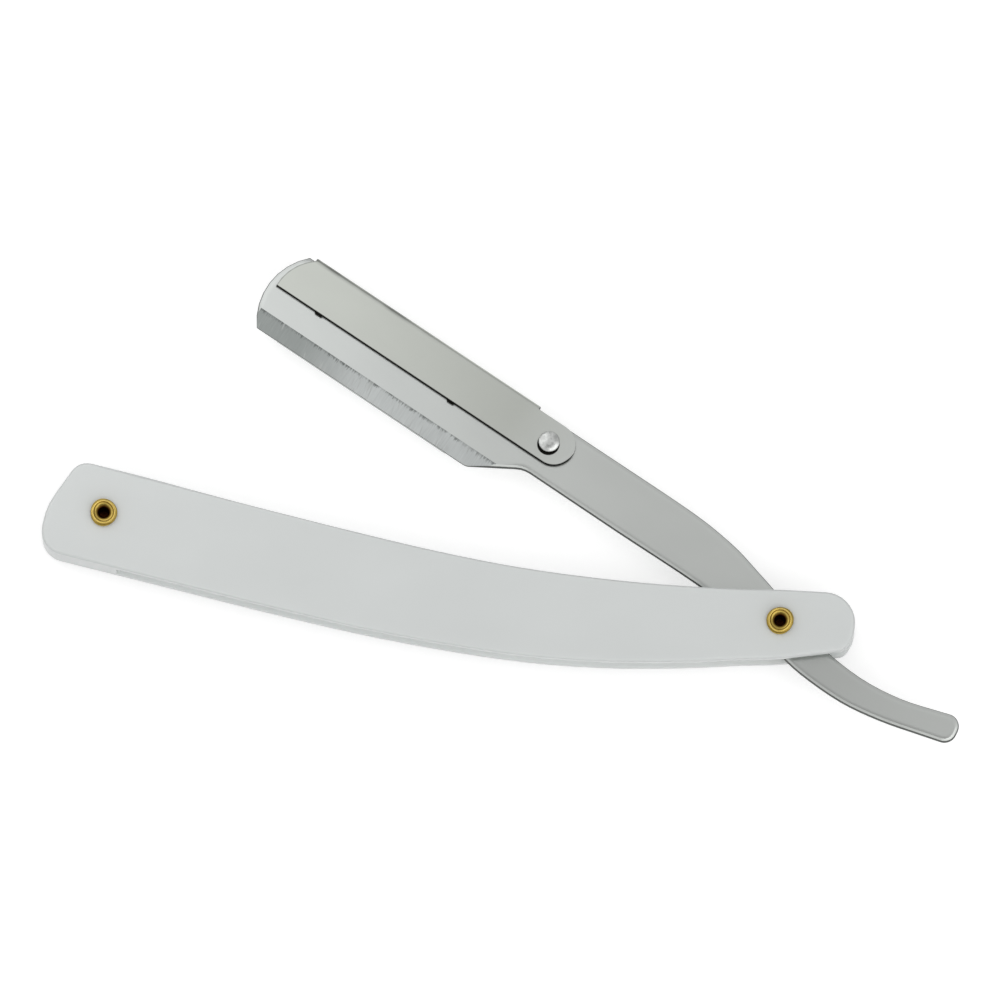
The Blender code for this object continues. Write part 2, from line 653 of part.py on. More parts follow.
def main():
    for old in list(bpy.data.objects):
        bpy.data.objects.remove(old)
    white_plastic = new_material("white_plastic", (0.63, 0.65, 0.64), 0.35, 0.0)
    brass = new_material("brass", (0.58, 0.37, 0.10), 0.28, 1.0)
    satin_steel = new_material("satin_steel", (0.46, 0.48, 0.46), 0.38, 1.0)
    blade_steel = new_material("blade_steel", (0.60, 0.62, 0.62), 0.15, 1.0)
    bright_steel = new_material("bright_steel", (0.62, 0.63, 0.62), 0.2, 1.0)
    razor = new_frame("razor")
    handle = new_frame("handle_frame", razor, turn=-HANDLE_SLOPE)
    arm = new_frame("arm_frame", razor, turn=-ARM_SLOPE)
    make_scales(handle, white_plastic)
    make_spacer(handle, white_plastic)
    make_tube_rivets(handle, brass)
    make_pivot_washers(handle, brass)
    make_leaves(arm, satin_steel)
    make_blade(arm, blade_steel)
    make_pegs(arm, bright_steel)
    make_clip_rivet(arm, bright_steel)
    make_clip(arm, satin_steel)
    bpy.context.view_layer.update()
    stand_on_origin(razor)


if __name__ == "__main__":
    main()
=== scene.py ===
"""Looks of a folding razor with an exchangeable half blade, which lies on its side on a pale floor.

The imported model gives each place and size. Flat pieces are finer copies of their solids, round pieces are
spun to their boxes, and each surface takes a finish from what the real one is made of.
"""

import json
import math

import bmesh
import bpy
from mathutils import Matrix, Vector


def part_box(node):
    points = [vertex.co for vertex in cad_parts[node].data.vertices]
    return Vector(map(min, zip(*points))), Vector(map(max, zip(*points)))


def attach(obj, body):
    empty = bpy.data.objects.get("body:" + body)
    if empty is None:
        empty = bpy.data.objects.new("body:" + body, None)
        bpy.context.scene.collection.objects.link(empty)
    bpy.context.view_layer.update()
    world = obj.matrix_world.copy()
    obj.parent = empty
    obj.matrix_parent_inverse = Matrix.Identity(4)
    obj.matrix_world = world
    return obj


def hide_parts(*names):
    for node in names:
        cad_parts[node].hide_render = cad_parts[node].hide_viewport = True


bl_info = {
    "name": "Folding razor",
    "version": (1, 0, 0),
    "blender": (4, 5, 0),
    "location": "3D View > Sidebar > Razor",
    "description": "Models and finishes a barber's folding razor around its packed solids",
    "category": "Object",
}

MM = 0.001

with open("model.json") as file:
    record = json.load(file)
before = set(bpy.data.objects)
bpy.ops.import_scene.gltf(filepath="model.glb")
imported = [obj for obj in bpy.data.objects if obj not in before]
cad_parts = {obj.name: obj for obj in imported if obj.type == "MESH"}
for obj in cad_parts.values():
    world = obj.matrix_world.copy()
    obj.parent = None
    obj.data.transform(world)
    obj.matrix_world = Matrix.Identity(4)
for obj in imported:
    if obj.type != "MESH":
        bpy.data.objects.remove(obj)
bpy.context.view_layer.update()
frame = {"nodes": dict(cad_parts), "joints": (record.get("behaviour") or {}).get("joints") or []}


def radius_of(node):
    """Half the width of a round solid."""
    low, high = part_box(node)
    return (high.x - low.x) / 2


# Places and sizes that the frame gives
HINGES = {joint["name"]: Vector(joint["pos_m"]) for joint in frame["joints"]}
PIVOT = HINGES["arm_pivot"]
CLIP_PIN = HINGES["clip_swing"]
BUTT_PIN = (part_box("butt_rivet")[0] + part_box("butt_rivet")[1]) / 2
MIDDLE = PIVOT.z
HEAD_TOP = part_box("pivot_rivet")[1].z
HEAD_RADIUS = radius_of("pivot_rivet")
STUD_RADIUS = radius_of("clip_rivet")

# Slopes of the two long parts, seen from above, and how far the handle's scuffs turn from it
ARM_SLOPE = math.radians(34.1)
HANDLE_SLOPE = math.radians(9.24)
SCUFF_SLANT = math.radians(8.6)

# Arm, seen from its pivot along its length: its ends, where the darker painted shade of holder and clip ends,
# the shares of its length where it is plain, darker at the tail's root as painted shade and plain again, the
# ground bevel with its frayed upper line, and how far from the tip its painted shade fades
HOLDER_TIP = -113.4 * MM
TAIL_END = 59.0 * MM
HOLDER_TONE_END = -84.0 * MM
SKIRT_TONE_END = -62.0 * MM
PLAIN_SHARES = (0.38, 0.65)
TAIL_ROOT_SHARE = 0.71
TAIL_ROOT_SHADE = 0.84
TAIL_SHARE = 0.86
GRIND_TOP = -4.4 * MM
GRIND_FRAY = (-0.1 * MM, 0.35 * MM)
GRIND_ANGLE = math.radians(9.2)
SCRATCH_SLANT = math.radians(12)
BEVEL_TIP_SHADE = (9 * MM, 28 * MM)

# Clip, seen from its pin along the arm: the round ends of its tab and of its side, and where the painted
# shadow along its foot tapers, the painted shadow rings the stud, the painted dark reflection lies on the
# fold and the painted shade line runs inside the end
TAB_RADIUS = 3.975 * MM
TAB_LEAD = 1.05 * MM
FOOT_SHADE_FROM = -0.33 * TAB_RADIUS
FOOT_SHADE_TO = 0.3 * TAB_RADIUS
FOOT_SHADE_SOFTNESS = (-0.05 * MM, 0.08 * MM)
CLIP_END_RADIUS = 9.2 * MM
CLIP_END_PLACE = (-48.76 * MM, -3.225 * MM)
STUD_SHADE_PLACE = (0.15 * MM, -0.48 * MM)
STUD_SHADE_RING = (0.18 * MM, 0.06 * MM)
FOLD_SHADE_WIDTH = (-0.5 * MM, 0.35 * MM)
FOLD_SHADE_START = (-22 * MM, -40 * MM)
END_SHADE_LINE = (-0.3 * MM, -0.1 * MM)

# Modelling: how finely round pieces are spun, which edges are rims or corners, and which faces count as
# walls, inner faces, flats or ends
ROUND_STEPS = 72
WELD = 0.001 * MM
FLAT_ANGLE = math.radians(0.3)
SHARP_ANGLE = math.radians(32)
RIM_ANGLES = (math.radians(20), math.radians(60))
CORNER_ANGLES = (math.radians(60), math.radians(180))
STEEP_TILT = math.radians(38)
INNER_FACING = 0.9
FLAT_FACING = 0.99999
END_FACING = 0.35

# Rolled head of an eyelet: radii, depths below the crown, and the half widths and heights of its arcs
BORE_RADIUS = 0.8 * MM
BORE_DEPTH = 4.2 * MM
MOUTH_ARC = (0.55 * MM, 0.95 * MM)
MOUTH_DEPTH = 1.5 * MM
FUNNEL_RADIUS = 1.41 * MM
FUNNEL_ARC = (0.52 * MM, 0.42 * MM)
CROWN_RADIUS = 2.03 * MM
CROWN_ROLL = 0.12 * MM
SHOULDER_ROLL = 0.24 * MM
SHOULDER_DEPTH = 0.34 * MM
LIP_ROLL = 0.1 * MM
LIP_DEPTH = 0.5 * MM
TUBE_RADIUS = 1.45 * MM

# Brass: where the bore's dark starts and is full, the radius at which the ramp of folds ends, and the
# rings that the tool leaves
BORE_SHADE = (1.55 * MM, 1.1 * MM)
FOLDS_END = 2.778 * MM
RINGS_PER_MM = 9

# Other round pieces: inner radii, softened corners and the stud's dome
COLLAR_BORE = 1.5 * MM
WASHER_BORE = 1.52 * MM
COLLAR_CORNER = 0.12 * MM
WASHER_CORNER = 0.1 * MM
PEG_CORNER = 0.12 * MM
DOME_HEIGHT = 0.6 * MM
DOME_STEPS = 12
STUD_SHANK = 1.2 * MM

# Marks on polished steel: hammer dents on the stud, and scratches that are really under 0.05 mm apart
# and are drawn coarser so that they show
STUD_DENTS = 0.9 * MM
FINE_SCRATCHES = 0.5 * MM

# Camera: a long lens that looks down on the table from a little below upright
CAMERA_ELEVATION = math.radians(79)
LENS = 800.0
SENSOR = 36.0
VIEW_WIDTH = 183.0 * MM
VIEW_LEFT_OF_PIVOT = 51.255 * MM
VIEW_ABOVE_PIVOT = 21.878 * MM

# Studio, in metres and watts: a white tent with an opening for the camera, a softbox that looks straight
# down behind on the left, a key lamp in front on the right, and a paper floor
SOFTBOX_PLACE = (-0.18, 0.19, 0.2)
SOFTBOX_TARGET = (-0.18, 0.19, 0)
SOFTBOX_WIDTH = 0.34
SOFTBOX_POWER = 0.215
KEY_PLACE = (0.36, -0.36, 0.5)
KEY_TARGET = (0, 0, 0)
KEY_WIDTH = 0.75
KEY_POWER = 1.6
FLOOR_HALF = 2.5
FLOOR_GLOW = 0.54
OPENING_CORE = math.radians(6)
OPENING_EDGE = math.radians(21)
OPENING_SHADE = 0.08
FRONT_WAY = (-0.6, -0.74, 0.3)
TENT_BACK = 0.48
TENT_FRONT = 0.91


def linear(hexadecimal):
    """An sRGB colour such as "#CFD2D0" as linear red, green and blue."""
    parts = [int(hexadecimal[start : start + 2], 16) / 255 for start in (1, 3, 5)]
    return tuple(part / 12.92 if part <= 0.04045 else ((part + 0.055) / 1.055) ** 2.4 for part in parts)


def length_property(name, description, default):
    return bpy.props.FloatProperty(
        name=name,
        description=description,
        default=default,
        min=0,
        precision=5,
        unit="LENGTH",
        subtype="DISTANCE",
    )


def colour_property(name, description, default):
    return bpy.props.FloatVectorProperty(
        name=name,
        description=description,
        default=linear(default),
        size=3,
        min=0,
        max=1,
        subtype="COLOR",
    )


class RazorSizes(bpy.types.PropertyGroup):
    """Sizes of the small forms and of the surface patterns."""

    edge_softness: length_property("Edge softness", "Radius worn on to cut corners", 0.07 * MM)
    clip_softness: length_property("Clip softness", "Radius tumbled on to the clip's outline", 0.14 * MM)
    rim_softness: length_property("Rim softness", "How far each facet of a rolled rim is rounded", 0.1 * MM)
    rim_unevenness: length_property("Rim unevenness", "How far the press draws a brass rim in", 0.15 * MM)
    plastic_grain: length_property("Plastic grain", "Spacing of the mould's fine texture", 0.45 * MM)
    plastic_depth: length_property("Plastic depth", "How far light spreads inside the plastic", 1.5 * MM)
    steel_grain: length_property("Steel grain", "Spacing of the tumbled satin grain", 0.3 * MM)
    grind_spacing: length_property("Grind spacing", "Spacing of the scratches on the ground bevel", 0.32 * MM)
    grind_teeth: length_property("Grind teeth", "How far coarse scratches run down the bevel", 1.3 * MM)
    die_roll: length_property("Die roll", "Width over which a stamped face sinks to its rim", 0.55 * MM)
    die_drop: length_property("Die drop", "How far a stamped face sinks at its rim", 0.05 * MM)
    # Painted shadow: width of the dark band along the clip's foot
    foot_shade_width: length_property("Sheared width", "Width of the torn edge along the clip's foot", 0.3 * MM)


class RazorColours(bpy.types.PropertyGroup):
    """Colours of the finishes."""

    plastic: colour_property("Plastic", "Moulded white plastic of the scales", "#D3D6D5")
    # Painted light: lighter inner faces stand in for light in the gap between the scales
    inner_plastic_painted_light: colour_property("Inner plastic", "Inner faces of the scales, never rubbed", "#EDF0EF")
    brass: colour_property("Brass", "Clean rolled brass", "#E4C66C")
    brass_tarnish: colour_property("Brass tarnish", "Brass that has darkened in its folds", "#6E5A12")
    bore: colour_property("Bore", "Oxide and oil inside the tube", "#381A08")
    steel: colour_property("Steel", "Satin stainless sheet of the tang", "#D2D5D2")
    # Painted shade: the holder's darker tone; also the colour of the bevel's long light scratches
    holder_steel: colour_property("Holder steel", "Satin of the blade holder, rubbed by blades", "#C4C7C5")
    # Painted shade: the darker tone of the clip's skirt, while its tab keeps the plain steel tone
    clip_steel: colour_property("Clip steel", "Satin stainless sheet of the clip", "#C0C3BD")
    # Partly a real dull torn edge, partly painted shade: darkened further on the steep walls
    sheared_shaded_steel: colour_property("Sheared steel", "Torn grey edge that the press leaves", "#5C5E5C")
    # Painted shade: near-black, laid on the clip along its foot, round its stud, on its fold and along its
    # end
    painted_shade: colour_property("Grime", "Oil and dust in the crevices", "#141412")
    ground_steel: colour_property("Ground steel", "Ground bevel near the heel", "#D6DAD9")
    # Painted shade: the bevel's darker tone near the tip
    ground_tip: colour_property("Ground tip", "Coarser ground bevel near the tip", "#A6ABA9")
    ground_dark: colour_property("Ground dark", "Shaded side of a coarse scratch", "#6A6E6C")
    bright_steel: colour_property("Bright steel", "Polished steel of the stud, pegs and blade", "#D0D2D0")
    floor: colour_property("Floor", "Pale paper under the razor", "#D0D0D0")


def sizes():
    return bpy.context.scene.razor_sizes


def colours():
    return bpy.context.scene.razor_colours


# Materials


def new_material(name):
    """An empty node material with its shader joined to the output."""
    material = bpy.data.materials.new(name)
    material.use_nodes = True
    return material


def principled(material, **settings):
    """The material's shader with plain values set on its own sockets."""
    shader = material.node_tree.nodes["Principled BSDF"]
    for name, value in settings.items():
        shader.inputs[name.replace("_", " ")].default_value = value
    return shader


def add_node(material, kind, inputs=None, links=None, stops=None, **settings):
    """One node with its settings, plain inputs, linked inputs and, on a ramp, its stops."""
    node = material.node_tree.nodes.new("ShaderNode" + kind)
    for name, value in settings.items():
        setattr(node, name, value)
    for name, value in (inputs or {}).items():
        node.inputs[name].default_value = value
    for name, socket in (links or {}).items():
        material.node_tree.links.new(socket, node.inputs[name])
    for number, (place, colour) in enumerate(stops or ()):
        if number > 1:
            node.color_ramp.elements.new(place)
        channels = colour if isinstance(colour, tuple) else (colour,) * 3
        node.color_ramp.elements[number].position = place
        node.color_ramp.elements[number].color = (*channels, 1)
    return node


def laid_out(material, size, centre=(0, 0, 0), turn=0):
    """Object coordinates seen from a place, turned, and counted in these lengths."""
    coordinates = add_node(material, "TexCoord")
    mapping = add_node(
        material,
        "Mapping",
        {"Location": centre, "Rotation": (0, 0, turn), "Scale": size},
        {"Vector": coordinates.outputs["Object"]},
        vector_type="TEXTURE",
    )
    return mapping.outputs["Vector"]


def along_arm(material, size=(MM, MM, MM), centre=PIVOT, slant=0):
    """Object coordinates seen from a pin of the arm, with X towards the tail and Y towards the spine."""
    return laid_out(material, size, centre, slant - ARM_SLOPE)


def face_tilt(material):
    """The upward part of a face's direction: 1 on the flats and 0 on upright walls, above or below alike."""
    geometry = add_node(material, "NewGeometry")
    facing = add_node(material, "SeparateXYZ", links={"Vector": geometry.outputs["Normal"]})
    upright = add_node(material, "Math", links={0: facing.outputs["Z"]}, operation="ABSOLUTE")
    return upright.outputs["Value"]


def join(material, shader, **sockets):
    """Link sockets into the shader's inputs."""
    for name, socket in sockets.items():
        material.node_tree.links.new(socket, shader.inputs[name.replace("_", " ")])


def tinted(colour, factor):
    return tuple(min(1.0, channel * factor) for channel in colour)


def moulded_plastic(name, base):
    """White ABS, injection moulded in a lightly textured mould: even, a little soft and slightly wavy.

    The rounded rims are a little greyer than the flats and walls, as painted shade. The mould's real grain is
    about 0.1 mm across, and it is drawn coarser so that it shows.
    """
    material = new_material(name)
    shader = principled(material, IOR=1.54, Subsurface_Weight=0.3, Subsurface_Scale=sizes().plastic_depth)
    shader.inputs["Subsurface Radius"].default_value = (1, 1, 1)
    flow = add_node(
        material,
        "TexNoise",
        {"Scale": 1, "Detail": 2},
        {"Vector": laid_out(material, (30 * MM, 18 * MM, 18 * MM))},
    )
    tint = add_node(
        material,
        "ValToRGB",
        links={"Fac": flow.outputs["Fac"]},
        stops=((0.35, tinted(base, 0.975)), (0.65, tinted(base, 1.01))),
    )
    # Painted shade: the rounded rims darkened by how far they tilt
    rim_shade = add_node(
        material,
        "ValToRGB",
        links={"Fac": face_tilt(material)},
        stops=((0.1, 1.0), (0.3, 0.87), (0.7, 0.9), (0.93, 0.95), (0.985, 1.0)),
    )
    rimmed = add_node(
        material,
        "VectorMath",
        links={0: tint.outputs["Color"], 1: rim_shade.outputs["Color"]},
        operation="MULTIPLY",
    )
    waves = add_node(
        material,
        "TexNoise",
        {"Scale": 1, "Detail": 1},
        {"Vector": laid_out(material, (9 * MM,) * 3)},
    )
    grain = add_node(
        material,
        "TexNoise",
        {"Scale": 1, "Detail": 3},
        {"Vector": laid_out(material, (sizes().plastic_grain,) * 3)},
    )
    scuffs = add_node(
        material,
        "TexNoise",
        {"Scale": 1, "Detail": 4, "Roughness": 0.6},
        {"Vector": laid_out(material, (14 * MM, 0.4 * MM, 4 * MM), turn=SCUFF_SLANT - HANDLE_SLOPE)},
    )
    gloss = add_node(
        material,
        "MapRange",
        {"From Min": 0.35, "From Max": 0.75, "To Min": 0.33, "To Max": 0.45},
        {"Value": scuffs.outputs["Fac"]},
    )
    wavy = add_node(material, "Bump", {"Distance": 0.02 * MM}, {"Height": waves.outputs["Fac"]})
    grained = add_node(
        material,
        "Bump",
        {"Distance": 0.003 * MM},
        {"Height": grain.outputs["Fac"], "Normal": wavy.outputs["Normal"]},
    )
    join(
        material,
        shader,
        Base_Color=rimmed.outputs["Vector"],
        Roughness=gloss.outputs["Result"],
        Normal=grained.outputs["Normal"],
    )
    return material


def rolled_brass(name, centre):
    """Brass tube and sheet, spun over by a tool: fine rings, bright where it rubs and brown in the folds."""
    material = new_material(name)
    shader = principled(material, Metallic=1)
    place = laid_out(material, (MM, MM, MM), centre)
    flat = add_node(material, "VectorMath", {1: (1, 1, 0)}, {0: place}, operation="MULTIPLY")
    radius = add_node(material, "VectorMath", links={0: flat.outputs["Vector"]}, operation="LENGTH")
    height = add_node(material, "SeparateXYZ", links={"Vector": place})
    ring_place = add_node(
        material,
        "CombineXYZ",
        links={"X": radius.outputs["Value"], "Y": height.outputs["Z"]},
    )
    rings = add_node(
        material,
        "TexNoise",
        {"Scale": RINGS_PER_MM, "Detail": 3, "Roughness": 0.7},
        {"Vector": ring_place.outputs["Vector"]},
    )
    blotches = add_node(
        material,
        "TexNoise",
        {"Scale": 1, "Detail": 3},
        {"Vector": laid_out(material, (0.8 * MM,) * 3)},
    )
    fold_place = add_node(
        material,
        "Math",
        {1: MM / FOLDS_END},
        {0: radius.outputs["Value"]},
        operation="MULTIPLY",
    )
    folds = add_node(
        material,
        "ValToRGB",
        links={"Fac": fold_place.outputs["Value"]},
        stops=((0.47, 0.9), (0.54, 0.3), (0.60, 0.7), (0.70, 0.0), (0.80, 0.25), (0.86, 1.0), (0.92, 0.35)),
    )
    dirt = add_node(
        material,
        "Math",
        {1: 0.5},
        {0: blotches.outputs["Fac"], 2: folds.outputs["Color"]},
        operation="MULTIPLY_ADD",
    )
    dirt_share = add_node(
        material,
        "MapRange",
        {"From Min": 0.3, "From Max": 1.3, "To Min": 0.0, "To Max": 0.9},
        {"Value": dirt.outputs["Value"]},
    )
    tint = add_node(
        material,
        "MixRGB",
        {"Color1": (*colours().brass, 1), "Color2": (*colours().brass_tarnish, 1)},
        {"Fac": dirt_share.outputs["Result"]},
    )
    in_bore = add_node(
        material,
        "MapRange",
        {"From Min": BORE_SHADE[0] / MM, "From Max": BORE_SHADE[1] / MM},
        {"Value": radius.outputs["Value"]},
    )
    darkened = add_node(
        material,
        "MixRGB",
        {"Color2": (*colours().bore, 1)},
        {"Fac": in_bore.outputs["Result"], "Color1": tint.outputs["Color"]},
    )
    gloss = add_node(
        material,
        "MapRange",
        {"From Min": 0, "From Max": 1, "To Min": 0.2, "To Max": 0.42},
        {"Value": dirt_share.outputs["Result"]},
    )
    dented = add_node(material, "Bump", {"Distance": 0.05 * MM}, {"Height": blotches.outputs["Fac"]})
    turned = add_node(
        material,
        "Bump",
        {"Distance": 0.006 * MM},
        {"Height": rings.outputs["Fac"], "Normal": dented.outputs["Normal"]},
    )
    join(
        material,
        shader,
        Base_Color=darkened.outputs["Color"],
        Roughness=gloss.outputs["Result"],
        Normal=turned.outputs["Normal"],
    )
    return material


def clip_painted_shade(material):
    """How much painted shade the clip takes, from 0 to 1: painted shadow along its foot and round its stud, a
    painted dark reflection on its fold and a painted shade line along its end.
    """
    turned = along_arm(material, centre=CLIP_PIN)
    place = add_node(material, "SeparateXYZ", links={"Vector": turned})
    across, along = place.outputs["Y"], place.outputs["X"]

    # Painted shadow along the foot: a band inside the tab's outline that tapers away up its round end
    past = add_node(material, "Math", {1: TAB_LEAD / MM}, {0: along}, operation="SUBTRACT")
    ahead = add_node(material, "Math", {1: 0}, {0: past.outputs["Value"]}, operation="MAXIMUM")
    below = add_node(material, "Math", {1: 0}, {0: across}, operation="MINIMUM")
    reach = add_node(
        material,
        "CombineXYZ",
        links={"X": ahead.outputs["Value"], "Y": below.outputs["Value"]},
    )
    out = add_node(material, "VectorMath", links={0: reach.outputs["Vector"]}, operation="LENGTH")
    width = add_node(
        material,
        "MapRange",
        {
            "From Min": FOOT_SHADE_FROM / MM,
            "From Max": FOOT_SHADE_TO / MM,
            "To Min": (sizes().foot_shade_width - TAB_RADIUS) / MM,
            "To Max": -TAB_RADIUS / MM,
        },
        {"Value": across},
    )
    edge = add_node(
        material,
        "Math",
        links={0: out.outputs["Value"], 1: width.outputs["Result"]},
        operation="ADD",
    )
    torn = add_node(
        material,
        "MapRange",
        {"From Min": FOOT_SHADE_SOFTNESS[0] / MM, "From Max": FOOT_SHADE_SOFTNESS[1] / MM},
        {"Value": edge.outputs["Value"]},
    )

    # Painted shadow round the stud, in a ring set off to one side
    flat = add_node(material, "CombineXYZ", links={"X": along, "Y": across})
    from_stud = add_node(
        material,
        "VectorMath",
        {1: (STUD_SHADE_PLACE[0] / MM, STUD_SHADE_PLACE[1] / MM, 0)},
        {0: flat.outputs["Vector"]},
        operation="DISTANCE",
    )
    ring = add_node(
        material,
        "MapRange",
        {"From Min": (STUD_RADIUS + STUD_SHADE_RING[0]) / MM, "From Max": (STUD_RADIUS + STUD_SHADE_RING[1]) / MM},
        {"Value": from_stud.outputs["Value"]},
    )

    # Painted dark reflection on the fold, broken up in places and stronger towards the tip
    blots = add_node(
        material,
        "TexNoise",
        {"Scale": 1, "Detail": 2},
        {"Vector": laid_out(material, (7 * MM,) * 3)},
    )
    rubbed = add_node(
        material,
        "MapRange",
        {"From Min": 0.3, "From Max": 0.6, "To Min": 0.15, "To Max": 0.55},
        {"Value": blots.outputs["Fac"]},
    )
    on_fold = add_node(
        material,
        "MapRange",
        {"From Min": (TAB_RADIUS + FOLD_SHADE_WIDTH[0]) / MM, "From Max": (TAB_RADIUS + FOLD_SHADE_WIDTH[1]) / MM},
        {"Value": across},
        interpolation_type="SMOOTHSTEP",
    )
    near_tip = add_node(
        material,
        "MapRange",
        {"From Min": FOLD_SHADE_START[0] / MM, "From Max": FOLD_SHADE_START[1] / MM},
        {"Value": along},
        interpolation_type="SMOOTHSTEP",
    )
    fold = add_node(
        material,
        "Math",
        links={0: on_fold.outputs["Result"], 1: near_tip.outputs["Result"]},
        operation="MULTIPLY",
    )
    fold_shade = add_node(
        material,
        "Math",
        links={0: fold.outputs["Value"], 1: rubbed.outputs["Result"]},
        operation="MULTIPLY",
    )

    # Fainter painted shade line just inside the round end near the tip
    before = add_node(material, "Math", {1: CLIP_END_PLACE[0] / MM}, {0: along}, operation="SUBTRACT")
    outside = add_node(material, "Math", {1: 0}, {0: before.outputs["Value"]}, operation="MINIMUM")
    above = add_node(material, "Math", {1: CLIP_END_PLACE[1] / MM}, {0: across}, operation="SUBTRACT")
    end_place = add_node(
        material,
        "CombineXYZ",
        links={"X": outside.outputs["Value"], "Y": above.outputs["Value"]},
    )
    end_out = add_node(material, "VectorMath", links={0: end_place.outputs["Vector"]}, operation="LENGTH")
    end_shade_line = add_node(
        material,
        "MapRange",
        {
            "From Min": (CLIP_END_RADIUS + END_SHADE_LINE[0]) / MM,
            "From Max": (CLIP_END_RADIUS + END_SHADE_LINE[1]) / MM,
            "To Min": 0,
            "To Max": 0.5,
        },
        {"Value": end_out.outputs["Value"]},
    )

    most = torn.outputs["Result"]
    for dark in (ring.outputs["Result"], fold_shade.outputs["Value"], end_shade_line.outputs["Result"]):
        most = add_node(material, "Math", links={0: most, 1: dark}, operation="MAXIMUM").outputs["Value"]
    return most


def satin_steel(name, base, holder, holder_end, roughness, rim_wear, dark=None):
    """Stainless sheet, stamped and tumbled: an even grain, faint clouds and a trace of the rolling lines.

    The holder, or the clip's skirt, takes a darker tone and the tail's root is darker, both painted shade,
    and a dark mask, where given, mixes in more painted shade. Hands have dulled the rims. The tumbled grain
    is really about
    0.05 mm across, and it is drawn coarser so that it shows.
    """
    material = new_material(name)
    shader = principled(material, Metallic=1)
    grain_size = sizes().steel_grain
    place = add_node(material, "SeparateXYZ", links={"Vector": along_arm(material)})
    share = add_node(
        material,
        "MapRange",
        {"From Min": HOLDER_TIP / MM, "From Max": TAIL_END / MM},
        {"Value": place.outputs["X"]},
    )
    # Painted shade: the holder takes its darker tone and the tail's root is darkened
    tone = add_node(
        material,
        "ValToRGB",
        links={"Fac": share.outputs["Result"]},
        stops=(
            ((holder_end - HOLDER_TIP) / (TAIL_END - HOLDER_TIP), holder),
            (PLAIN_SHARES[0], base),
            (PLAIN_SHARES[1], base),
            (TAIL_ROOT_SHARE, tinted(base, TAIL_ROOT_SHADE)),
            (TAIL_SHARE, base),
        ),
    )
    clouds = add_node(
        material,
        "TexNoise",
        {"Scale": 1, "Detail": 2},
        {"Vector": along_arm(material, (16 * MM, 9 * MM, 9 * MM))},
    )
    cloud_tint = add_node(
        material,
        "MapRange",
        {"From Min": 0.35, "From Max": 0.65, "To Min": 0.985, "To Max": 1.015},
        {"Value": clouds.outputs["Fac"]},
    )
    clouded = add_node(
        material,
        "VectorMath",
        links={0: tone.outputs["Color"], "Scale": cloud_tint.outputs["Result"]},
        operation="SCALE",
    )
    colour = clouded.outputs["Vector"]
    # Painted shade from the dark mask, where one is given
    if dark:
        with_painted_shade = add_node(
            material,
            "MixRGB",
            {"Color2": (*colours().painted_shade, 1)},
            {"Fac": dark(material), "Color1": colour},
        )
        colour = with_painted_shade.outputs["Color"]
    rolling = add_node(
        material,
        "TexNoise",
        {"Scale": 1, "Detail": 3},
        {"Vector": along_arm(material, (25 * MM, grain_size, grain_size))},
    )
    gloss = add_node(
        material,
        "MapRange",
        {"From Min": 0.3, "From Max": 0.7, "To Min": roughness - 0.004, "To Max": roughness + 0.006},
        {"Value": rolling.outputs["Fac"]},
    )
    worn = add_node(
        material,
        "MapRange",
        {"From Min": 0.98, "From Max": 0.92, "To Min": 0, "To Max": rim_wear},
        {"Value": face_tilt(material)},
    )
    dulled = add_node(
        material,
        "Math",
        links={0: gloss.outputs["Result"], 1: worn.outputs["Result"]},
        operation="ADD",
    )
    rolled = add_node(material, "Bump", {"Distance": 0.0001 * MM}, {"Height": rolling.outputs["Fac"]})
    grain = add_node(
        material,
        "TexNoise",
        {"Scale": 1, "Detail": 4},
        {"Vector": laid_out(material, (grain_size,) * 3)},
    )
    grained = add_node(
        material,
        "Bump",
        {"Distance": 0.002 * MM},
        {"Height": grain.outputs["Fac"], "Normal": rolled.outputs["Normal"]},
    )
    join(
        material,
        shader,
        Base_Color=colour,
        Roughness=dulled.outputs["Value"],
        Normal=grained.outputs["Normal"],
    )
    return material


def sheared_shaded_steel():
    """Stainless steel as the press tears it: a dull grey edge with fine lines across its thickness, darkened
    further as painted shade.
    """
    material = new_material("sheared_shaded_stainless")
    shader = principled(material, Metallic=1)
    base = tuple(colours().sheared_shaded_steel)
    tears = add_node(
        material,
        "TexNoise",
        {"Scale": 1, "Detail": 4, "Roughness": 0.7},
        {"Vector": laid_out(material, (0.12 * MM, 0.12 * MM, 2 * MM))},
    )
    tint = add_node(
        material,
        "ValToRGB",
        links={"Fac": tears.outputs["Fac"]},
        stops=((0.3, tinted(base, 0.8)), (0.7, tinted(base, 1.1))),
    )
    gloss = add_node(
        material,
        "MapRange",
        {"From Min": 0.3, "From Max": 0.7, "To Min": 0.42, "To Max": 0.6},
        {"Value": tears.outputs["Fac"]},
    )
    torn = add_node(material, "Bump", {"Distance": 0.01 * MM}, {"Height": tears.outputs["Fac"]})
    join(
        material,
        shader,
        Base_Color=tint.outputs["Color"],
        Roughness=gloss.outputs["Result"],
        Normal=torn.outputs["Normal"],
    )
    return material


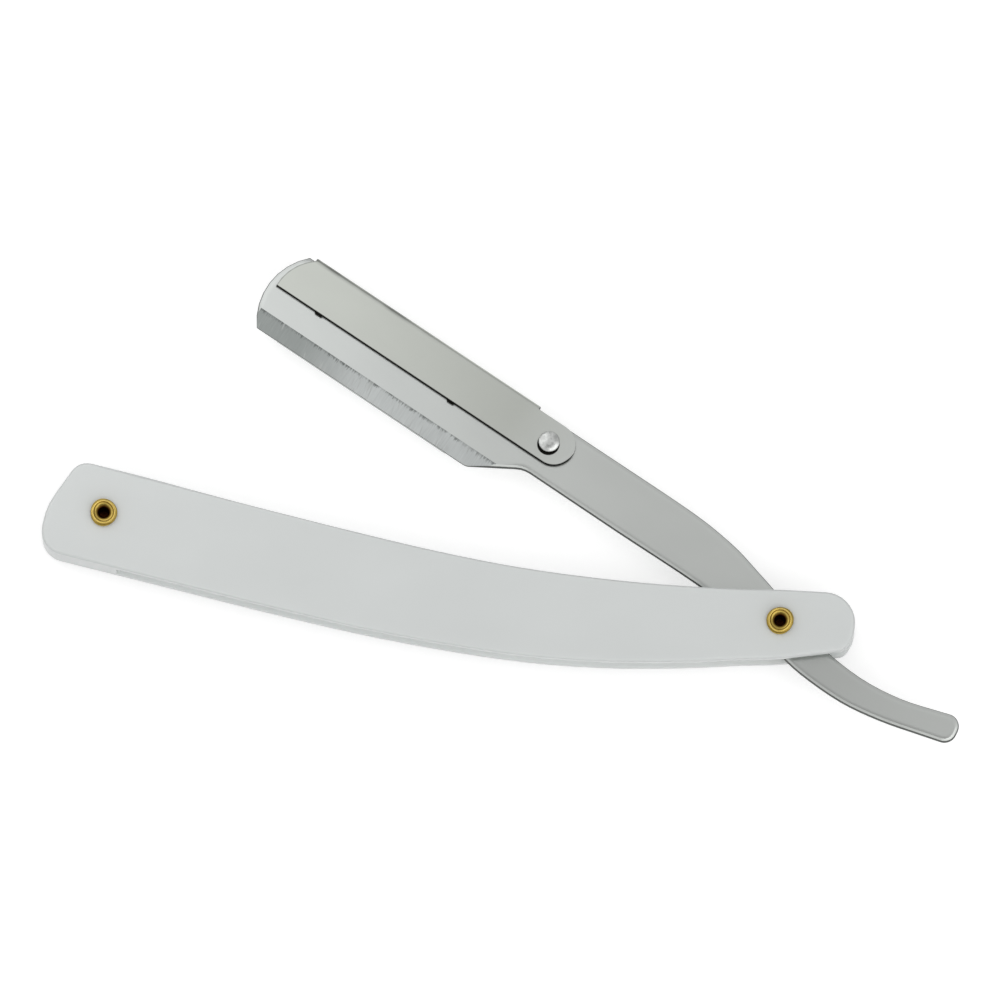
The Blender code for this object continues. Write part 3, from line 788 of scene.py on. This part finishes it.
def ground_steel():
    """Stainless steel, ground across the edge on a belt: straight scratches, with the colour darkened towards
    the tip as painted shade.

    A belt's scratches are really about 0.1 mm apart, and they are drawn further apart so that they show.
    """
    material = new_material("ground_stainless")
    shader = principled(material, Metallic=1)
    spacing = sizes().grind_spacing
    place = add_node(material, "SeparateXYZ", links={"Vector": along_arm(material)})
    # Painted shade: the bevel darkens towards the tip
    tip_to_heel = add_node(
        material,
        "MapRange",
        {"From Min": (HOLDER_TIP + BEVEL_TIP_SHADE[0]) / MM, "From Max": (HOLDER_TIP + BEVEL_TIP_SHADE[1]) / MM},
        {"Value": place.outputs["X"]},
        interpolation_type="SMOOTHSTEP",
    )
    belt = add_node(
        material,
        "MixRGB",
        {"Color1": (*colours().ground_tip, 1), "Color2": (*colours().ground_steel, 1)},
        {"Fac": tip_to_heel.outputs["Result"]},
    )

    # Coarse marks that hang down from the bevel's upper line, darker in some places than in others
    coarse = add_node(
        material,
        "TexNoise",
        {"Scale": 1, "Detail": 5, "Roughness": 0.8},
        {"Vector": along_arm(material, (spacing, 2.5 * MM, 2.5 * MM))},
    )
    reach = add_node(
        material,
        "MapRange",
        {"From Min": 0.38, "From Max": 0.75, "To Min": 0, "To Max": sizes().grind_teeth / MM},
        {"Value": coarse.outputs["Fac"]},
    )
    left_over = add_node(
        material,
        "Math",
        links={0: reach.outputs["Result"], 1: place.outputs["Y"]},
        operation="ADD",
    )
    clusters = add_node(
        material,
        "TexNoise",
        {"Scale": 1, "Detail": 2},
        {"Vector": laid_out(material, (3 * MM,) * 3)},
    )
    darkest = add_node(
        material,
        "MapRange",
        {"From Min": 0.36, "From Max": 0.58, "To Min": 0.3, "To Max": 0.85},
        {"Value": clusters.outputs["Fac"]},
    )
    ragged = add_node(
        material,
        "MapRange",
        {"From Min": (GRIND_TOP + GRIND_FRAY[0]) / MM, "From Max": (GRIND_TOP + GRIND_FRAY[1]) / MM},
        {"Value": left_over.outputs["Value"], "To Max": darkest.outputs["Result"]},
    )
    torn = add_node(
        material,
        "MixRGB",
        {"Color2": (*colours().ground_dark, 1)},
        {"Fac": ragged.outputs["Result"], "Color1": belt.outputs["Color"]},
    )

    # Few long light scratches, a little aslant
    long_ones = add_node(
        material,
        "TexNoise",
        {"Scale": 1, "Detail": 1},
        {"Vector": along_arm(material, (spacing * 1.4, 5 * MM, 5 * MM), slant=SCRATCH_SLANT)},
    )
    light_share = add_node(
        material,
        "MapRange",
        {"From Min": 0.62, "From Max": 0.7, "To Min": 0, "To Max": 0.65},
        {"Value": long_ones.outputs["Fac"]},
    )
    scored = add_node(
        material,
        "MixRGB",
        {"Color2": (*colours().holder_steel, 1)},
        {"Fac": light_share.outputs["Result"], "Color1": torn.outputs["Color"]},
    )

    # Fine scratches all over
    scratches = add_node(
        material,
        "TexNoise",
        {"Scale": 1, "Detail": 4, "Roughness": 0.7},
        {"Vector": along_arm(material, (spacing, 6 * MM, 6 * MM))},
    )
    scratch_tint = add_node(
        material,
        "MapRange",
        {"From Min": 0.32, "From Max": 0.68, "To Min": 0.9, "To Max": 1.03},
        {"Value": scratches.outputs["Fac"]},
    )
    tint = add_node(
        material,
        "VectorMath",
        links={0: scored.outputs["Color"], "Scale": scratch_tint.outputs["Result"]},
        operation="SCALE",
    )
    gloss = add_node(
        material,
        "MapRange",
        {"From Min": 0.3, "From Max": 0.7, "To Min": 0.3, "To Max": 0.42},
        {"Value": scratches.outputs["Fac"]},
    )
    cut = add_node(material, "Bump", {"Distance": 0.004 * MM}, {"Height": scratches.outputs["Fac"]})
    join(
        material,
        shader,
        Base_Color=tint.outputs["Vector"],
        Roughness=gloss.outputs["Result"],
        Normal=cut.outputs["Normal"],
    )
    return material


def bright_steel(name, roughness, grain_size, contrast):
    """Polished steel: close to a mirror, with hammer dents on the stud and scratches all ways elsewhere."""
    material = new_material(name)
    shader = principled(material, Metallic=1)
    base = tuple(colours().bright_steel)
    marks = add_node(
        material,
        "TexNoise",
        {"Scale": 1, "Detail": 3, "Roughness": 0.6},
        {"Vector": laid_out(material, (grain_size,) * 3)},
    )
    tint = add_node(
        material,
        "ValToRGB",
        links={"Fac": marks.outputs["Fac"]},
        stops=((0.38, tinted(base, 1 - contrast)), (0.62, tinted(base, 1 + contrast))),
    )
    gloss = add_node(
        material,
        "MapRange",
        {"From Min": 0.3, "From Max": 0.7, "To Min": roughness, "To Max": roughness + 0.08},
        {"Value": marks.outputs["Fac"]},
    )
    depth = grain_size * contrast / 4
    dents = add_node(material, "Bump", {"Distance": depth}, {"Height": marks.outputs["Fac"]})
    join(
        material,
        shader,
        Base_Color=tint.outputs["Color"],
        Roughness=gloss.outputs["Result"],
        Normal=dents.outputs["Normal"],
    )
    return material


# Modelling


def merged_copy(node):
    """A mesh of a CAD node's shape, with its loose triangles joined into whole faces."""
    bm = bmesh.new()
    bm.from_mesh(frame["nodes"][node].data)
    bmesh.ops.remove_doubles(bm, verts=bm.verts, dist=WELD)
    bmesh.ops.dissolve_limit(bm, angle_limit=FLAT_ANGLE, verts=bm.verts, edges=bm.edges)
    return bm


def edges_meeting(bm, angles):
    """The edges whose two faces meet at an angle in this range."""
    low, high = angles
    return [edge for edge in bm.edges if edge.is_manifold and low < edge.calc_face_angle() < high]


def soften(bm, edges, width):
    """Round these edges by a small width."""
    bmesh.ops.bevel(
        bm,
        geom=edges,
        offset=width,
        offset_type="OFFSET",
        segments=2,
        profile=0.5,
        affect="EDGES",
        clamp_overlap=True,
        material=-1,
    )


def roll_rim(bm, upward):
    """Let a stamped face sink towards its outline, but not where the bevel is ground into it."""
    flats = [face for face in bm.faces if face.normal.z * upward > FLAT_FACING]
    inner = set()
    bmesh.ops.inset_region(bm, faces=flats, thickness=sizes().die_roll, depth=0, use_even_offset=True)
    for face in flats:
        inner.update(face.verts)
    ring = {vert for face in bm.faces if face.normal.z * upward > FLAT_FACING for vert in face.verts} - inner
    for vert in ring:
        if not any(is_ground(face) for face in vert.link_faces):
            vert.co.z -= upward * sizes().die_drop


def is_ground(face):
    """Whether a face is part of the bevel that is ground into a leaf."""
    return abs(math.acos(min(1, abs(face.normal.z))) - GRIND_ANGLE) < GRIND_ANGLE / 4


def spun(profile, centre):
    """A round piece from its half profile of (radius, height) points, turned about the upright at a place.

    A profile that starts off the axis is closed to a ring.
    """
    bm = bmesh.new()
    points = [bm.verts.new((radius, 0, height)) for radius, height in profile]
    is_ring = profile[0][0] > WELD
    following = points[1:] + points[:1] if is_ring else points[1:]
    sides = [bm.edges.new(pair) for pair in zip(points, following)]
    bmesh.ops.spin(
        bm,
        geom=points + sides,
        angle=math.tau,
        steps=ROUND_STEPS,
        axis=(0, 0, 1),
        cent=(0, 0, 0),
        use_merge=True,
    )
    bmesh.ops.translate(bm, verts=bm.verts, vec=centre)
    return bm


def press_uneven(bm, centre, phase):
    """Draw a spun rim in a little on some sides, as a hand press does; the phase turns these round."""
    for vert in bm.verts:
        out = vert.co - centre
        angle = math.atan2(out.y, out.x)
        share = (2 + math.sin(2 * angle + phase) + math.sin(3 * angle - phase)) / 4
        inward = sizes().rim_unevenness * share * math.hypot(out.x, out.y) / HEAD_RADIUS**2
        vert.co.x -= out.x * inward
        vert.co.y -= out.y * inward
    return bm


def arc(centre, radii, start, end, steps):
    """Points along an ellipse's arc, from one angle in degrees to another."""
    points = []
    for step in range(steps + 1):
        angle = math.radians(start + (end - start) * step / steps)
        points.append((centre[0] + radii[0] * math.cos(angle), centre[1] + radii[1] * math.sin(angle)))
    return points


def outer_wall(radius, low, high, soft, steps):
    """Half profile of a round piece's outer wall with its two softened corners."""
    profile = arc((radius - soft, low + soft), (soft, soft), -90, 0, steps)
    return profile + arc((radius - soft, high - soft), (soft, soft), 0, 90, steps)


def finish_piece(name, bm, body, node, materials):
    """Make a piece of this mesh, shade it, and let it stand for its CAD node."""
    bmesh.ops.remove_doubles(bm, verts=bm.verts, dist=WELD)
    bmesh.ops.recalc_face_normals(bm, faces=bm.faces)
    for face in bm.faces:
        face.smooth = True
    for edge in bm.edges:
        one_finish = len({face.material_index for face in edge.link_faces}) == 1
        edge.smooth = edge.is_manifold and one_finish and edge.calc_face_angle() < SHARP_ANGLE
    mesh = bpy.data.meshes.new(name)
    bm.to_mesh(mesh)
    bm.free()
    for material in materials:
        mesh.materials.append(material)
    piece = bpy.data.objects.new(name, mesh)
    bpy.context.scene.collection.objects.link(piece)
    weighted = piece.modifiers.new("even_shading", "WEIGHTED_NORMAL")
    weighted.keep_sharp = True
    weighted.weight = 60
    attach(piece, body)
    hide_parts(node)


class RAZOR_OT_scales(bpy.types.Operator):
    """Model the two moulded scales of the handle"""

    bl_idname = "razor.scales"
    bl_label = "Scales"

    def execute(self, context):
        outer = moulded_plastic("moulded_abs", tuple(colours().plastic))
        # Painted light: the inner faces take the lighter plastic
        inner = moulded_plastic("moulded_abs_inner_painted_light", tuple(colours().inner_plastic_painted_light))
        for side, inward in (("front", -1), ("back", 1)):
            bm = merged_copy(side + "_scale")
            soften(bm, edges_meeting(bm, CORNER_ANGLES), sizes().edge_softness)
            for face in bm.faces:
                face.material_index = int(face.normal.z * inward > INNER_FACING)
            name = "moulded_scale_" + side
            finish_piece(name, bm, "handle", side + "_scale", [outer, inner])
        return {"FINISHED"}


class RAZOR_OT_spacer(bpy.types.Operator):
    """Model the wedge between the scales at the butt"""

    bl_idname = "razor.spacer"
    bl_label = "Butt spacer"

    def execute(self, context):
        bm = merged_copy("butt_spacer")
        soften(bm, edges_meeting(bm, CORNER_ANGLES), sizes().edge_softness)
        plastic = bpy.data.materials["moulded_abs"]
        finish_piece("moulded_butt_wedge", bm, "handle", "butt_spacer", [plastic])
        return {"FINISHED"}


class RAZOR_OT_eyelets(bpy.types.Operator):
    """Spin the two tubular rivets with their rolled heads, and a collar under each head"""

    bl_idname = "razor.eyelets"
    bl_label = "Eyelets and collars"

    def head(self):
        """Half profile of one end: blind bore, mouth, funnel, rolled crown, shoulder, lip and tube."""
        top = HEAD_TOP - MIDDLE
        floor = top - BORE_DEPTH
        profile = [(0, floor), (BORE_RADIUS, floor + CROWN_ROLL)]
        profile += arc((BORE_RADIUS + MOUTH_ARC[0], top - MOUTH_DEPTH), MOUTH_ARC, 180, 90, 8)
        profile += arc((FUNNEL_RADIUS, top - CROWN_ROLL), FUNNEL_ARC, 275, 340, 5)
        profile += arc((CROWN_RADIUS, top - CROWN_ROLL), (CROWN_ROLL, CROWN_ROLL), 180, 60, 5)
        shoulder = (HEAD_RADIUS - SHOULDER_ROLL, top - SHOULDER_DEPTH)
        profile += arc(shoulder, (SHOULDER_ROLL, SHOULDER_ROLL), 60, 0, 4)
        lip = (HEAD_RADIUS - LIP_ROLL, top - LIP_DEPTH)
        profile += arc(lip, (LIP_ROLL, LIP_ROLL), 0, -90, 3)
        profile.append((TUBE_RADIUS, top - LIP_DEPTH - LIP_ROLL))
        return profile

    def execute(self, context):
        upper = self.head()
        lower = [(radius, -height) for radius, height in reversed(upper)]
        for name, centre, phase in (("pivot", PIVOT, 2.0), ("butt", BUTT_PIN, 0.6)):
            brass = rolled_brass("rolled_brass_" + name, centre)
            tube = press_uneven(spun(upper + lower, centre), centre, phase)
            finish_piece("eyelet_" + name, tube, "handle", name + "_rivet", [brass])
            for side in ("front", "back"):
                node = name + "_collar_" + side
                low, high = (corner.z - centre.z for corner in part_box(node))
                wall = outer_wall(radius_of(node), low, high, COLLAR_CORNER, 4)
                profile = [(COLLAR_BORE, low)] + wall + [(COLLAR_BORE, high)]
                collar = press_uneven(spun(profile, centre), centre, phase + 1)
                finish_piece("collar_" + name + "_" + side, collar, "handle", node, [brass])
        return {"FINISHED"}


class RAZOR_OT_washers(bpy.types.Operator):
    """Spin the two washers that keep the tang in the middle of the handle"""

    bl_idname = "razor.washers"
    bl_label = "Pivot washers"

    def execute(self, context):
        brass = bpy.data.materials["rolled_brass_pivot"]
        soft = (WASHER_CORNER, WASHER_CORNER)
        inner = WASHER_BORE + WASHER_CORNER
        for side in ("front", "back"):
            node = "pivot_washer_" + side
            low, high = (corner.z - PIVOT.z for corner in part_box(node))
            profile = arc((inner, low + WASHER_CORNER), soft, 180, 270, 3)
            profile += outer_wall(radius_of(node), low, high, WASHER_CORNER, 3)
            profile += arc((inner, high - WASHER_CORNER), soft, 90, 180, 3)
            finish_piece("spacing_washer_" + side, spun(profile, PIVOT), "handle", node, [brass])
        return {"FINISHED"}


class RAZOR_OT_leaves(bpy.types.Operator):
    """Model the two stamped leaves with their rolled rims and ground bevels"""

    bl_idname = "razor.leaves"
    bl_label = "Arm leaves"

    def execute(self, context):
        base, holder = tuple(colours().steel), tuple(colours().holder_steel)
        satin = satin_steel("satin_stainless", base, holder, HOLDER_TONE_END, roughness=0.28, rim_wear=0.3)
        finishes = [satin, ground_steel(), sheared_shaded_steel()]
        for side, upward in (("front", 1), ("back", -1)):
            node = "arm_" + side + "_leaf"
            bm = merged_copy(node)
            ground = bm.faces.layers.int.new("ground")
            for face in bm.faces:
                face[ground] = int(is_ground(face))
            roll_rim(bm, upward)
            soften(bm, edges_meeting(bm, RIM_ANGLES), sizes().rim_softness)
            soften(bm, edges_meeting(bm, CORNER_ANGLES), sizes().edge_softness)
            for face in bm.faces:
                is_sheared = math.acos(min(1, abs(face.normal.z))) > STEEP_TILT
                face.material_index = 1 if face[ground] else 2 if is_sheared else 0
            finish_piece("stamped_leaf_" + side, bm, "arm", node, finishes)
        return {"FINISHED"}


class RAZOR_OT_clip(bpy.types.Operator):
    """Model the folded clip over the holder's spine"""

    bl_idname = "razor.clip"
    bl_label = "Spine clip"

    def execute(self, context):
        bm = merged_copy("spine_clip")
        soften(bm, edges_meeting(bm, CORNER_ANGLES), sizes().clip_softness)
        arm_way = Vector((math.cos(ARM_SLOPE), -math.sin(ARM_SLOPE), 0))
        for face in bm.faces:
            tilt = math.acos(min(1, abs(face.normal.z)))
            at_an_end = abs(face.normal.dot(arm_way)) > END_FACING
            face.material_index = int(tilt > STEEP_TILT and at_an_end)
        satin = satin_steel(
            "satin_stainless_clip",
            tuple(colours().steel),
            tuple(colours().clip_steel),
            SKIRT_TONE_END,
            roughness=0.32,
            rim_wear=0,
            dark=clip_painted_shade,
        )
        sheared = bpy.data.materials["sheared_shaded_stainless"]
        finish_piece("folded_clip", bm, "clip", "spine_clip", [satin, sheared])
        return {"FINISHED"}


class RAZOR_OT_stud(bpy.types.Operator):
    """Spin the domed stud that the clip turns on"""

    bl_idname = "razor.stud"
    bl_label = "Clip stud"

    def execute(self, context):
        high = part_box("clip_rivet")[1].z - CLIP_PIN.z
        seat = high - DOME_HEIGHT
        dome = arc((0, seat), (STUD_RADIUS, DOME_HEIGHT), 90, 0, DOME_STEPS) + [(STUD_SHANK, seat)]
        profile = dome + [(radius, -height) for radius, height in reversed(dome)]
        bright = bright_steel("polished_stud_steel", roughness=0.32, grain_size=STUD_DENTS, contrast=0.19)
        stud = spun(profile, CLIP_PIN)
        finish_piece("domed_clip_stud", stud, "arm", "clip_rivet", [bright])
        return {"FINISHED"}


class RAZOR_OT_blade(bpy.types.Operator):
    """Model the half blade between the leaves"""

    bl_idname = "razor.blade"
    bl_label = "Half blade"

    def execute(self, context):
        strip = bright_steel("blade_strip_steel", roughness=0.16, grain_size=FINE_SCRATCHES, contrast=0.04)
        bm = merged_copy("half_blade")
        finish_piece("snapped_half_blade", bm, "arm", "half_blade", [strip])
        return {"FINISHED"}


class RAZOR_OT_pegs(bpy.types.Operator):
    """Spin the two pegs that the blade's notches sit on"""

    bl_idname = "razor.pegs"
    bl_label = "Blade pegs"

    def execute(self, context):
        bright = bright_steel("turned_peg_steel", roughness=0.22, grain_size=FINE_SCRATCHES, contrast=0.04)
        for place in ("tip", "heel"):
            node = "blade_peg_" + place
            low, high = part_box(node)
            half = (high.z - low.z) / 2
            profile = [(0, -half)] + outer_wall(radius_of(node), -half, half, PEG_CORNER, 3) + [(0, half)]
            peg = spun(profile, (low + high) / 2)
            finish_piece("turned_peg_" + place, peg, "arm", node, [bright])
        return {"FINISHED"}


class RAZOR_OT_stage(bpy.types.Operator):
    """Lay the pale floor and set the lamps, the world and the camera"""

    bl_idname = "razor.stage"
    bl_label = "Stage"

    def floor(self):
        """White paper: it shows white to the camera and keeps the razor's shadow."""
        bm = bmesh.new()
        bmesh.ops.create_grid(bm, x_segments=1, y_segments=1, size=FLOOR_HALF)
        mesh = bpy.data.meshes.new("paper_floor")
        bm.to_mesh(mesh)
        bm.free()
        paper = bpy.data.objects.new("paper_floor", mesh)
        bpy.context.scene.collection.objects.link(paper)
        material = new_material("white_paper")
        shader = principled(material, Base_Color=(*colours().floor, 1))
        fibres = add_node(
            material,
            "TexNoise",
            {"Scale": 1, "Detail": 3},
            {"Vector": laid_out(material, (4 * MM,) * 3)},
        )
        matt = add_node(
            material,
            "MapRange",
            {"To Min": 0.85, "To Max": 0.95},
            {"Value": fibres.outputs["Fac"]},
        )
        join(material, shader, Roughness=matt.outputs["Result"])
        paths = add_node(material, "LightPath")
        shown = paths.outputs["Is Camera Ray"]
        for ray in ("Is Glossy Ray", "Is Transmission Ray"):
            either = add_node(material, "Math", links={0: shown, 1: paths.outputs[ray]}, operation="MAXIMUM")
            shown = either.outputs["Value"]
        strength = add_node(material, "Math", {1: FLOOR_GLOW}, {0: shown}, operation="MULTIPLY")
        glow = add_node(
            material,
            "Emission",
            {"Color": (1, 1, 1, 1)},
            {"Strength": strength.outputs["Value"]},
        )
        both = add_node(material, "AddShader", links={0: shader.outputs["BSDF"], 1: glow.outputs["Emission"]})
        tree = material.node_tree
        tree.links.new(both.outputs["Shader"], tree.nodes["Material Output"].inputs["Surface"])
        mesh.materials.append(material)

    def tent(self, camera_side):
        """A white light tent: darker round the opening that the camera looks in by, lighter low in front."""
        world = bpy.data.worlds.new("light_tent")
        world.use_nodes = True
        way = add_node(world, "TexCoord").outputs["Generated"]
        near_camera = add_node(world, "VectorMath", {1: camera_side}, {0: way}, operation="DOT_PRODUCT")
        opening = add_node(
            world,
            "MapRange",
            {
                "From Min": math.cos(OPENING_EDGE),
                "From Max": math.cos(OPENING_CORE),
                "To Min": 1,
                "To Max": OPENING_SHADE,
            },
            {"Value": near_camera.outputs["Value"]},
            interpolation_type="SMOOTHSTEP",
        )
        in_front = add_node(world, "VectorMath", {1: FRONT_WAY}, {0: way}, operation="DOT_PRODUCT")
        front = add_node(
            world,
            "MapRange",
            {"From Min": -1, "From Max": 1, "To Min": TENT_BACK, "To Max": TENT_FRONT},
            {"Value": in_front.outputs["Value"]},
        )
        strength = add_node(
            world,
            "Math",
            links={0: opening.outputs["Result"], 1: front.outputs["Result"]},
            operation="MULTIPLY",
        )
        background = world.node_tree.nodes["Background"]
        background.inputs["Color"].default_value = (1, 1, 1, 1)
        world.node_tree.links.new(strength.outputs["Value"], background.inputs["Strength"])
        bpy.context.scene.world = world

    def lamp(self, name, place, target, size, power):
        """A square area lamp at a place, turned to a target."""
        data = bpy.data.lights.new(name, "AREA")
        data.shape = "SQUARE"
        data.size = size
        data.energy = power
        lamp = bpy.data.objects.new(name, data)
        lamp.location = place
        lamp.rotation_mode = "QUATERNION"
        lamp.rotation_quaternion = (Vector(target) - Vector(place)).to_track_quat("-Z", "Y")
        bpy.context.scene.collection.objects.link(lamp)

    def camera(self, back):
        """A long lens on this side of the razor, turned to the middle of the view."""
        data = bpy.data.cameras.new("camera")
        data.lens = LENS
        data.sensor_width = SENSOR
        distance = VIEW_WIDTH * LENS / SENSOR
        data.clip_end = distance * 2
        up = Vector((0, math.sin(CAMERA_ELEVATION), math.cos(CAMERA_ELEVATION)))
        target = Vector((PIVOT.x - VIEW_LEFT_OF_PIVOT, PIVOT.y, HEAD_TOP)) + up * VIEW_ABOVE_PIVOT
        camera = bpy.data.objects.new("camera", data)
        camera.location = target + back * distance
        camera.rotation_mode = "QUATERNION"
        camera.rotation_quaternion = back.to_track_quat("Z", "Y")
        bpy.context.scene.collection.objects.link(camera)
        bpy.context.scene.camera = camera

    def execute(self, context):
        back = Vector((0, -math.cos(CAMERA_ELEVATION), math.sin(CAMERA_ELEVATION)))
        self.floor()
        self.tent(back)
        self.lamp("softbox", SOFTBOX_PLACE, SOFTBOX_TARGET, SOFTBOX_WIDTH, SOFTBOX_POWER)
        self.lamp("key", KEY_PLACE, KEY_TARGET, KEY_WIDTH, KEY_POWER)
        self.camera(back)
        bpy.context.scene.view_settings.view_transform = "Standard"
        return {"FINISHED"}


OPERATORS = (
    RAZOR_OT_scales,
    RAZOR_OT_spacer,
    RAZOR_OT_eyelets,
    RAZOR_OT_washers,
    RAZOR_OT_leaves,
    RAZOR_OT_clip,
    RAZOR_OT_stud,
    RAZOR_OT_blade,
    RAZOR_OT_pegs,
    RAZOR_OT_stage,
)


class RAZOR_PT_panel(bpy.types.Panel):
    """Sizes, colours and the steps that make the razor"""

    bl_idname = "RAZOR_PT_panel"
    bl_label = "Folding razor"
    bl_space_type = "VIEW_3D"
    bl_region_type = "UI"
    bl_category = "Razor"

    def draw(self, context):
        for group in (context.scene.razor_sizes, context.scene.razor_colours):
            column = self.layout.column(align=True)
            for name in group.__annotations__:
                column.prop(group, name)
        column = self.layout.column(align=True)
        for operator in OPERATORS:
            column.operator(operator.bl_idname)


CLASSES = (RazorSizes, RazorColours, *OPERATORS, RAZOR_PT_panel)


def register():
    for cls in CLASSES:
        bpy.utils.register_class(cls)
    bpy.types.Scene.razor_sizes = bpy.props.PointerProperty(type=RazorSizes)
    bpy.types.Scene.razor_colours = bpy.props.PointerProperty(type=RazorColours)


def unregister():
    del bpy.types.Scene.razor_colours
    del bpy.types.Scene.razor_sizes
    for cls in reversed(CLASSES):
        bpy.utils.unregister_class(cls)


def main():
    register()
    for operator in OPERATORS:
        group, name = operator.bl_idname.split(".")
        getattr(getattr(bpy.ops, group), name)()


if __name__ == "__main__":
    main()
